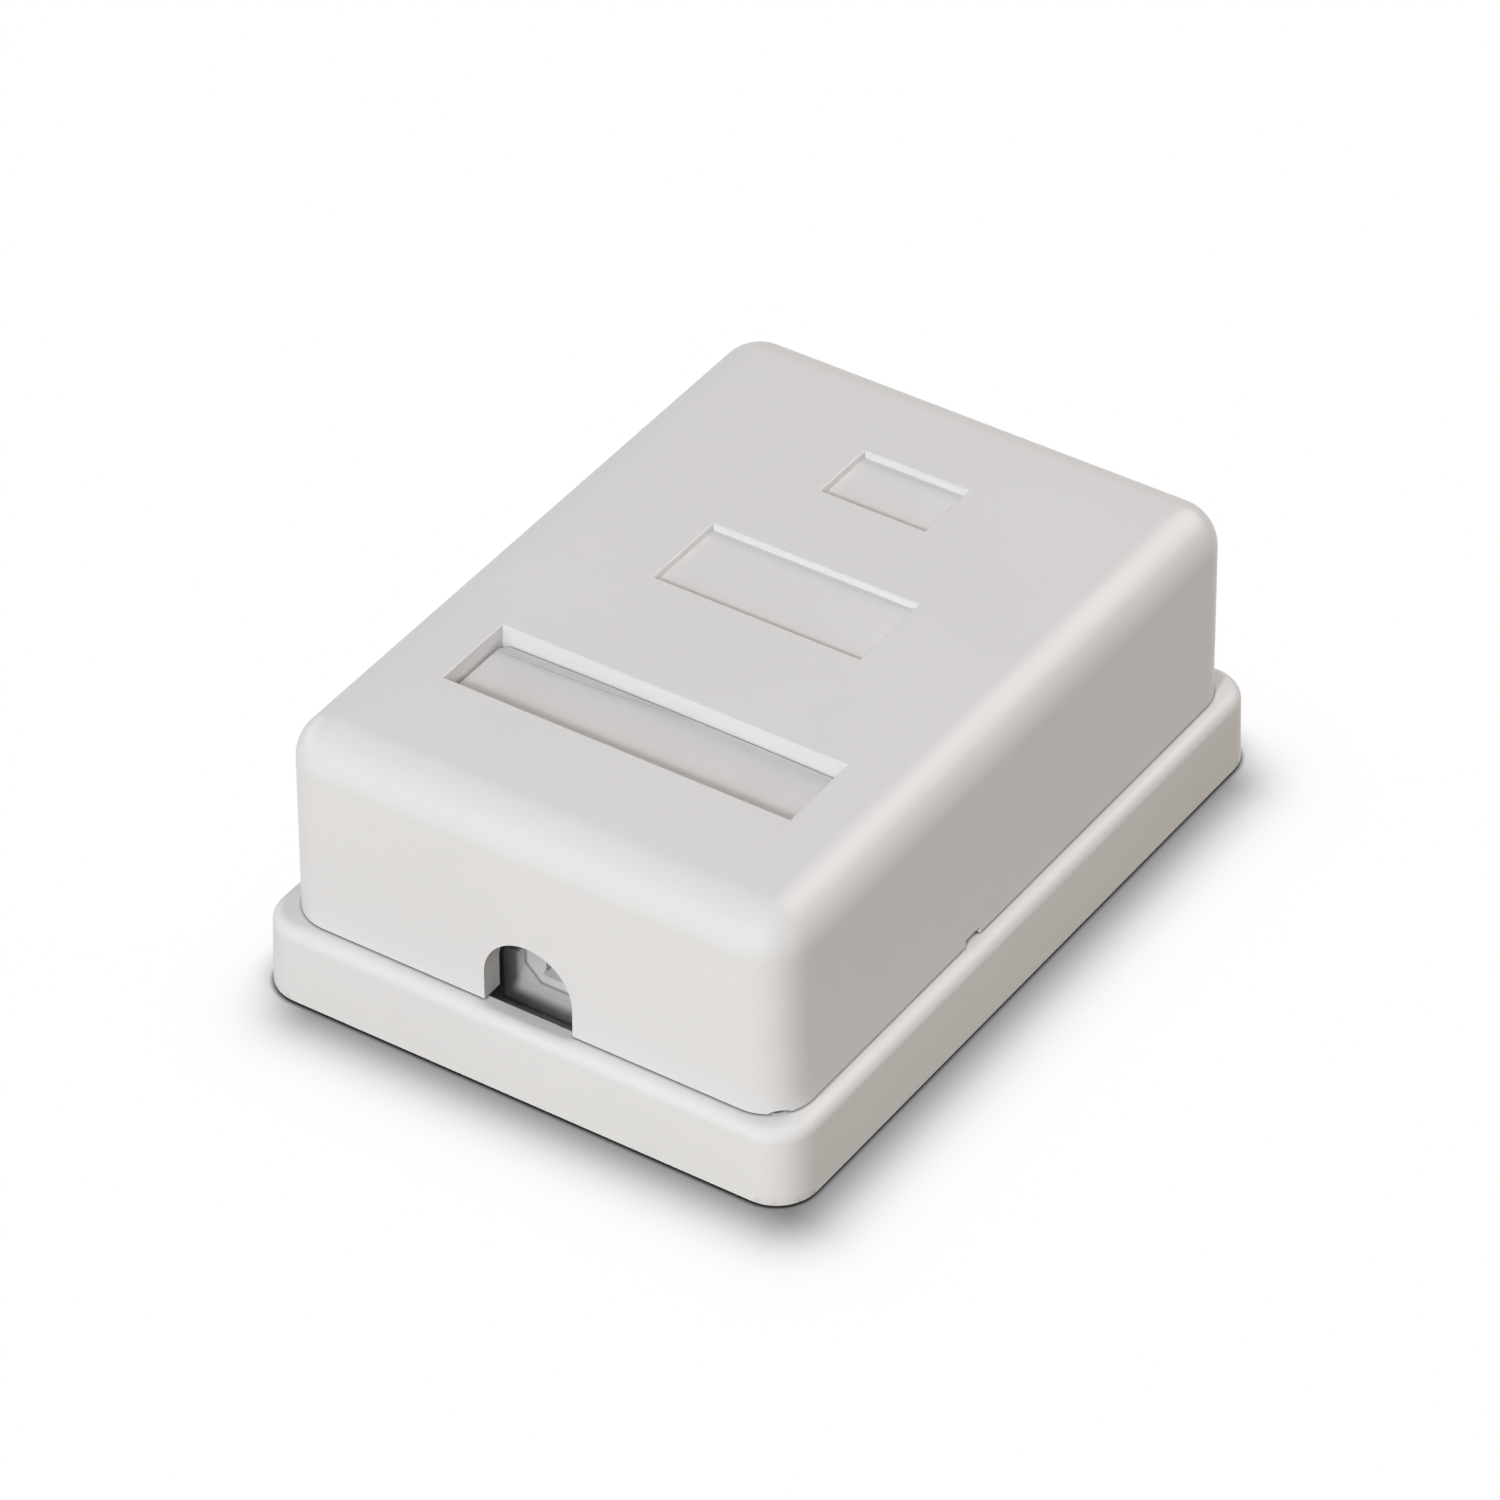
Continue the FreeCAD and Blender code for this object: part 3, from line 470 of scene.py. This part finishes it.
# ------------------------------------------------------------------ the window
WINDOW_STEPS = 150
WINDOW_EDGE = 0.09 * MM         # its edges are broken by this
EDGE_ROUND = 0.3                # where the broken edge bulges, as a share of it
WINDOW_CORNER = 0.55 * MM       # cut corner for a fingernail
WINDOW_BOW = 0.15 * MM
FOLD_SETBACK = 0.71 * MM        # line in the strip, in front of its far edge
FOLD_CLOSING = (-8.5 * MM, 1.8 * MM)    # x where the fold bends and meets the far edge
FOLD_ENDING = (0.6 * MM, 3.0 * MM)      # x where it fades and ends
FOLD_WIDTH = 0.09 * MM
FOLD_BOTTOM = 0.6               # its bottom's width as a share of FOLD_WIDTH
FOLD_DEPTH = 0.35 * MM
FOLD_LEAST = 0.002 * MM


def eased(value, start, end):
    """0 before start, 1 after end, smooth between."""
    share = min(1.0, max(0.0, (value - start) / (end - start)))
    return share * share * (3.0 - 2.0 * share)


def window_strip():
    """Sprung strip with broken edges, a cut corner and the fold that runs to its far edge."""
    low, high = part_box("label_window")
    thickness = high.z - low.z - WINDOW_BOW
    length = high.x - low.x
    bulge = EDGE_ROUND * WINDOW_EDGE

    def section(x):
        rise = WINDOW_BOW * (1.0 - (2.0 * (x - low.x) / length - 1.0) ** 2)
        bottom = low.z + rise
        top = bottom + thickness
        rear = high.y - max(0.0, WINDOW_CORNER - (x - low.x))
        setback = FOLD_SETBACK * (1.0 - eased(x, *FOLD_CLOSING))
        fold = min(high.y - setback - WINDOW_EDGE * 1.5, rear - WINDOW_EDGE - FOLD_WIDTH)
        depth = FOLD_DEPTH * (1.0 - eased(x, *FOLD_ENDING)) * eased(x, low.x, low.x + MM)
        floor = top - max(depth, FOLD_LEAST)
        lip, base = FOLD_WIDTH / 2, FOLD_WIDTH / 2 * FOLD_BOTTOM
        return [Vector((x, y, z)) for y, z in (
            (low.y, bottom), (low.y, top - WINDOW_EDGE), (low.y + bulge, top - bulge),
            (low.y + WINDOW_EDGE, top), (fold - lip, top), (fold - base, floor),
            (fold + base, floor), (fold + lip, top), (rear - WINDOW_EDGE, top),
            (rear - bulge, top - bulge), (rear, top - WINDOW_EDGE), (rear, bottom))]

    def make(bm):
        shares = [0.0] + [WINDOW_CORNER / length * part for part in (0.5, 1.0)]
        shares += [step / WINDOW_STEPS for step in range(3, WINDOW_STEPS + 1)]
        ring_rows(bm, [section(low.x + length * share) for share in shares])

    piece = new_piece("window_strip", make, "window", "window")
    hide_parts("label_window")


# ------------------------------------------------------------------ screws
THREAD_DEPTH = 0.22             # shares of the shank's radius
POINT_WIDTH, POINT_LENGTH = 0.25, 1.6
THREAD_SHARPNESS = 0.7
THREAD_COLUMNS = 24
THREAD_STEPS = 6                # rows per turn
HEAD_COLUMNS = 40
SHOULDER_STEPS = 7
SHOULDER = 0.55                 # shares of the head's height
RECESS_DEPTH = 0.6
CROSS_LENGTH, CROSS_WIDTH = 0.62, 0.13      # shares of the head's radius
CROSS_ABOVE = 0.3 * MM
CROSS_WIDE, CROSS_NARROW = 1.08, 0.55       # scale of the cross above the head and below
SHANK_OVERLAP = 0.02 * MM
COVER_SCREW = {"shank_radius": 1.15 * MM, "head_height": 1.9 * MM, "pitch": 0.9 * MM}
BOARD_SCREW = {"shank_radius": 0.95 * MM, "head_height": 1.5 * MM, "pitch": 0.7 * MM}


def thread_rows(radius, pitch, low, high, x, y):
    """Rows of a pointed shank whose radius winds in and out along a thread."""
    rows = []
    count = int((high - low) / pitch * THREAD_STEPS)
    for row in range(count + 1):
        z = low + (high - low) * row / count
        tip = min(1.0, POINT_WIDTH + (z - low) / (POINT_LENGTH * radius))
        points = []
        for column in range(THREAD_COLUMNS):
            turn = column / THREAD_COLUMNS
            phase = (z / pitch - turn) % 1.0
            valley = abs(2.0 * phase - 1.0) ** THREAD_SHARPNESS
            reach = radius * (1.0 - THREAD_DEPTH * valley) * tip
            angle = 2.0 * math.pi * turn
            points.append(Vector((x + reach * math.cos(angle), y + reach * math.sin(angle), z)))
        rows.append(points)
    return rows


def ring(x, y, z, radius, columns):
    """Level ring of points."""
    angles = [2 * math.pi * column / columns for column in range(columns)]
    return [Vector((x + radius * math.cos(angle), y + radius * math.sin(angle), z))
            for angle in angles]


def head_rows(radius, height, seat, x, y):
    """Rows of a pan head: flat underside, upright rim, round shoulder, flat top."""
    shoulder = height * SHOULDER
    profile = [(radius * 0.35, 0.0), (radius * 0.985, 0.0), (radius, height * 0.05)]
    for step in range(SHOULDER_STEPS + 1):
        angle = math.pi / 2 * step / SHOULDER_STEPS
        profile.append((radius - shoulder * (1 - math.cos(angle)),
                        height - shoulder * (1 - math.sin(angle))))
    profile.append((radius * 0.3, height))
    return [ring(x, y, seat + rise, reach, HEAD_COLUMNS) for reach, rise in profile]


def cross_cutter(name, radius, top, depth, x, y):
    """Tapered cross that cuts the driver recess."""
    bm = bmesh.new()
    for long_x in (True, False):
        rows = []
        for z, scale in ((top + CROSS_ABOVE, CROSS_WIDE), (top - depth, CROSS_NARROW)):
            long_half = radius * CROSS_LENGTH * scale
            short_half = radius * CROSS_WIDTH * (0.6 + 0.4 * scale)
            half_x, half_y = (long_half, short_half) if long_x else (short_half, long_half)
            rows.append([Vector((x + sx * half_x, y + sy * half_y, z))
                         for sx, sy in ((-1, -1), (1, -1), (1, 1), (-1, 1))])
        ring_rows(bm, rows)
    bmesh.ops.recalc_face_normals(bm, faces=bm.faces)
    mesh = bpy.data.meshes.new(name)
    bm.to_mesh(mesh)
    bm.free()
    cutter = bpy.data.objects.new(name, mesh)
    bpy.context.scene.collection.objects.link(cutter)
    return cutter


def cut_away(piece, cutter):
    """Applies a boolean difference, with the edges still joined, and removes the cutter."""
    modifier = piece.modifiers.new("recess", "BOOLEAN")
    modifier.object = cutter
    modifier.operation = "DIFFERENCE"
    modifier.solver = "EXACT"
    modifier.use_self = True
    piece.modifiers.move(len(piece.modifiers) - 1, 0)
    shown = piece.modifiers.get("split")
    if shown:
        shown.show_viewport = False
    graph = bpy.context.evaluated_depsgraph_get()
    graph.update()
    mesh = bpy.data.meshes.new_from_object(piece.evaluated_get(graph))
    piece.modifiers.remove(modifier)
    piece.data = mesh
    if shown:
        shown.show_viewport = True
    bpy.data.objects.remove(cutter)


def pan_screws(name, node, body, places, head_radius, shank_radius, head_height, pitch):
    """Pan-head screws with a cross recess and a rolled thread."""
    low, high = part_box(node)
    seat = high.z - head_height

    def make(bm):
        for x, y in places:
            ring_rows(bm, head_rows(head_radius, head_height, seat, x, y))
            ring_rows(bm, thread_rows(shank_radius, pitch, low.z, seat + SHANK_OVERLAP, x, y))

    piece = new_piece(name, make, "steel", body)
    for index, (x, y) in enumerate(places):
        cut_away(piece, cross_cutter(f"cutter_{index}", head_radius, high.z,
                                     head_height * RECESS_DEPTH, x, y))
    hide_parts(node)


def all_screws():
    """The cover's screw and the two board screws."""
    low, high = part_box("cover_screw")
    middle = ((low.x + high.x) / 2, (low.y + high.y) / 2)
    pan_screws("cover_pan_screw", "cover_screw", "cover", [middle], (high.x - low.x) / 2,
               **COVER_SCREW)
    low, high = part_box("board_screws")
    radius = (high.x - low.x) / 2
    middle_x = (low.x + high.x) / 2
    places = [(middle_x, low.y + radius), (middle_x, high.y - radius)]
    pan_screws("board_pan_screws", "board_screws", "housing", places, radius, **BOARD_SCREW)


# ------------------------------------------------------------------ the board
TRACE_HEIGHT = 0.03 * MM
TRACE_SUNK = 0.01 * MM
TRACE_WIDTH = 0.42 * MM
TRACE_UNDER_BLOCK = 0.6 * MM
TRACE_BEFORE_JACK = 0.2 * MM
TRACE_BEND = 0.45               # share of the room where the tracks draw together
BLOCK_PITCH = 1.45 * MM
JACK_PITCH = 1.016 * MM
MITRE_LIMIT = 0.3
SOLDER_PROFILE = ((1.0, 0.0), (0.95, 0.06), (0.6, 0.3), (0.42, 0.55), (0.3, 0.75))
SOLDER_COLUMNS = 16
TAIL_SOLDER = 0.62 * MM         # radii of the joints
FORK_SOLDER = 0.75 * MM
FORK_INSET = (0.25 * MM, 1.2 * MM)
FORKS_PER_ROW = 4


def strip_rows(points, width, z0, z1):
    """Rows of a flat strip that follows points in (x, y) with mitred corners."""
    rows = []
    for index, point in enumerate(points):
        here = Vector(point)
        before = Vector(points[max(index - 1, 0)])
        after = Vector(points[min(index + 1, len(points) - 1)])
        along = (after - before).normalized()
        if 0 < index < len(points) - 1:
            bend = (here - before).normalized().dot((after - here).normalized())
            reach = width / 2 / math.sqrt(max(MITRE_LIMIT, (1 + bend) / 2))
        else:
            reach = width / 2
        aside = Vector((-along.y, along.x)) * reach
        right, left = here - aside, here + aside
        rows.append([Vector((*right, z0)), Vector((*left, z0)),
                     Vector((*left, z1)), Vector((*right, z1))])
    return rows


def board_traces():
    """Copper tracks under the solder mask, from each terminal to its jack contact."""
    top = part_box("circuit_board")[1].z

    def make(bm):
        for side in SIDES:
            jack_low, jack_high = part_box("jack_contacts_" + side)
            block_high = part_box("terminal_block_" + side)[1]
            centre = (jack_low.x + jack_high.x) / 2
            start, end = block_high.y - TRACE_UNDER_BLOCK, jack_low.y - TRACE_BEFORE_JACK
            bend = start + (end - start) * TRACE_BEND
            for index in range(CONTACT_COUNT):
                place = index - (CONTACT_COUNT - 1) / 2
                near, far = centre + place * BLOCK_PITCH, centre + place * JACK_PITCH
                shift = abs(near - far)
                points = [(near, start), (near, bend - shift / 2), (far, bend + shift / 2),
                          (far, end)]
                ring_rows(bm, strip_rows(points, TRACE_WIDTH, top - TRACE_SUNK,
                                         top + TRACE_HEIGHT))

    new_piece("board_tracks", make, "trace", "housing", smooth=False)


def solder_joints():
    """Solder cones where contacts and terminals leave the board's underside."""
    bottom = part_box("circuit_board")[0].z

    def cone(bm, x, y, radius):
        ring_rows(bm, [ring(x, y, bottom - drop * MM, radius * reach, SOLDER_COLUMNS)
                       for reach, drop in SOLDER_PROFILE])

    def make(bm):
        for side in SIDES:
            for x, y in contact_tails(side):
                cone(bm, x, y, TAIL_SOLDER)
            low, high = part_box("terminal_contacts_" + side)
            aside, along = FORK_INSET
            pitch = (high.y - low.y - 2 * along) / (FORKS_PER_ROW - 1)
            for x in (low.x + aside, high.x - aside):
                for index in range(FORKS_PER_ROW):
                    cone(bm, x, low.y + along + index * pitch, FORK_SOLDER)

    new_piece("solder_joints", make, "tin", "housing")


# ------------------------------------------------------------------ the room
def outline_distance(nodes, half_x, half_y, radius):
    """Distance outside a rectangle with round corners, on the level floor."""
    split = nodes.add("ShaderNodeSeparateXYZ", {"Vector": nodes.place()})
    beyond = []
    for axis, half, shift in (("X", half_x, SHADE_SHIFT[0]), ("Y", half_y, SHADE_SHIFT[1])):
        off = nodes.math("ABSOLUTE", nodes.math("SUBTRACT", split.outputs[axis], shift))
        beyond.append(nodes.math("SUBTRACT", off, half - radius))
    out_x, out_y = (nodes.math("MAXIMUM", value, 0.0) for value in beyond)
    square = nodes.math("ADD", nodes.math("MULTIPLY", out_x, out_x),
                        nodes.math("MULTIPLY", out_y, out_y))
    inside = nodes.math("MINIMUM", nodes.math("MAXIMUM", *beyond), 0.0)
    return nodes.math("SUBTRACT", nodes.math("ADD", nodes.math("SQRT", square), inside), radius)


def make_floor():
    """Pale floor that reads white, with a painted soft shadow round the part's foot."""
    nodes = Nodes("floor")
    low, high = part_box("base")
    distance = outline_distance(nodes, (high.x - low.x) / 2, (high.y - low.y) / 2, FOOT_CORNER)
    steepness = ERROR_CURVE / SHADE_WIDTH
    slope = nodes.math("MULTIPLY_ADD", distance, steepness, -steepness * SHADE_START)
    spread = nodes.math("DIVIDE", SHADE_DEPTH,
                        nodes.math("ADD", nodes.math("EXPONENT", slope), 1.0))
    level = nodes.math("MINIMUM", nodes.math("SUBTRACT", 1.0, spread),
                       nodes.open_sky(CONTACT_SHADE, samples=12))
    foot_shadow = nodes.math("POWER", nodes.open_sky(FOOT_SHADOW_REACH, samples=8), FOOT_SHADOW_POWER)
    level = nodes.math("MINIMUM", level, foot_shadow)
    ray = nodes.add("ShaderNodeLightPath").outputs
    level = nodes.math("MAXIMUM", level, ray["Is Glossy Ray"])
    # painted shadow: the camera sees the floor as an emission darkened round the foot; mirrors see
    # it white
    seen = nodes.add("ShaderNodeEmission", {"Color": nodes.ramp(level, 0.0, 1.0),
                                            "Strength": 1.0})
    low_tone = [channel * 0.98 for channel in FLOOR_COLOUR]
    grain = nodes.ramp(nodes.noise(scale=40.0), low_tone, FLOOR_COLOUR)
    lit = nodes.add("ShaderNodeBsdfDiffuse", {"Color": grain})
    shown = nodes.math("MAXIMUM", ray["Is Camera Ray"],
                       nodes.math("MAXIMUM", ray["Is Glossy Ray"], ray["Is Transmission Ray"]))
    mixed = nodes.add("ShaderNodeMixShader", {0: shown, 1: lit.outputs[0], 2: seen.outputs[0]})
    nodes.tree.links.new(mixed.outputs[0], nodes.output.inputs["Surface"])
    mesh = bpy.data.meshes.new("floor")
    half, z = FLOOR_SIZE / 2, CAD_BOX[0].z - FLOOR_GAP
    mesh.from_pydata([(-half, -half, z), (half, -half, z), (half, half, z), (-half, half, z)],
                     [], [(0, 1, 2, 3)])
    mesh.materials.append(nodes.material)
    floor = bpy.data.objects.new("floor", mesh)
    bpy.context.scene.collection.objects.link(floor)


def direction(azimuth, elevation):
    """Unit vector from the part towards a place round it."""
    a, e = math.radians(azimuth), math.radians(elevation)
    return Vector((math.sin(a) * math.cos(e), -math.cos(a) * math.cos(e), math.sin(e)))


def make_lights():
    """Softboxes and a weak sky that shows white itself."""
    for name, (azimuth, elevation, distance, width, height, level) in SOFTBOXES.items():
        lamp = bpy.data.lights.new(name, "AREA")
        lamp.shape = "RECTANGLE"
        lamp.size, lamp.size_y = width, height
        lamp.energy = level * math.pi ** 2 * distance ** 2
        lamp.color = SOFTBOX_TINTS.get(name, (1.0, 1.0, 1.0))
        box = bpy.data.objects.new(name, lamp)
        towards = direction(azimuth, elevation)
        box.location = towards * distance
        box.rotation_mode = "QUATERNION"
        box.rotation_quaternion = towards.to_track_quat("Z", "Y")
        box.visible_camera = False
        box.visible_glossy = name not in UNMIRRORED
        bpy.context.scene.collection.objects.link(box)

    world = bpy.data.worlds.new("room")
    world.use_nodes = True
    tree = world.node_tree
    tree.nodes.clear()
    ray = tree.nodes.new("ShaderNodeLightPath").outputs
    shown = ray["Is Camera Ray"]
    for kind in ("Is Glossy Ray", "Is Transmission Ray"):
        most = tree.nodes.new("ShaderNodeMath")
        most.operation = "MAXIMUM"
        tree.links.new(shown, most.inputs[0])
        tree.links.new(ray[kind], most.inputs[1])
        shown = most.outputs[0]
    dim = tree.nodes.new("ShaderNodeBackground")
    dim.inputs["Color"].default_value = colour(SKY_COLOUR)
    dim.inputs["Strength"].default_value = SKY_LEVEL
    white = tree.nodes.new("ShaderNodeBackground")
    white.inputs["Color"].default_value = colour(1.0)
    mixed = tree.nodes.new("ShaderNodeMixShader")
    tree.links.new(shown, mixed.inputs[0])
    tree.links.new(dim.outputs[0], mixed.inputs[1])
    tree.links.new(white.outputs[0], mixed.inputs[2])
    output = tree.nodes.new("ShaderNodeOutputWorld")
    tree.links.new(mixed.outputs[0], output.inputs["Surface"])
    bpy.context.scene.world = world


def make_camera():
    """Camera at the photograph's viewing angle."""
    a, roll = math.radians(CAMERA_AZIMUTH), math.radians(CAMERA_ROLL)
    back = direction(CAMERA_AZIMUTH, CAMERA_ELEVATION)
    right = Vector((math.cos(a), math.sin(a), 0.0))
    up = back.cross(right)
    place = (right * CAMERA_ASIDE + up * CAMERA_ALONG + Vector((0, 0, CAMERA_AIM_HEIGHT))
             + back * CAMERA_DISTANCE)
    across = right * math.cos(roll) + up * math.sin(roll)
    upward = up * math.cos(roll) - right * math.sin(roll)
    camera = bpy.data.objects.new("camera", bpy.data.cameras.new("camera"))
    camera.data.sensor_width = CAMERA_SENSOR
    camera.data.lens = CAMERA_LENS
    camera.data.clip_start, camera.data.clip_end = CAMERA_CLIP
    columns = (across, upward, back, place)
    rows = [[column[row] for column in columns] for row in range(3)]
    camera.matrix_world = Matrix(rows + [[0, 0, 0, 1]])
    bpy.context.scene.collection.objects.link(camera)
    bpy.context.scene.camera = camera


make_camera()
make_lights()
make_floor()
finish_cad_nodes()
for side_name in SIDES:
    jack_contacts(side_name)
window_strip()
all_screws()
board_traces()
solder_joints()
bpy.context.scene.view_settings.view_transform = "Standard"
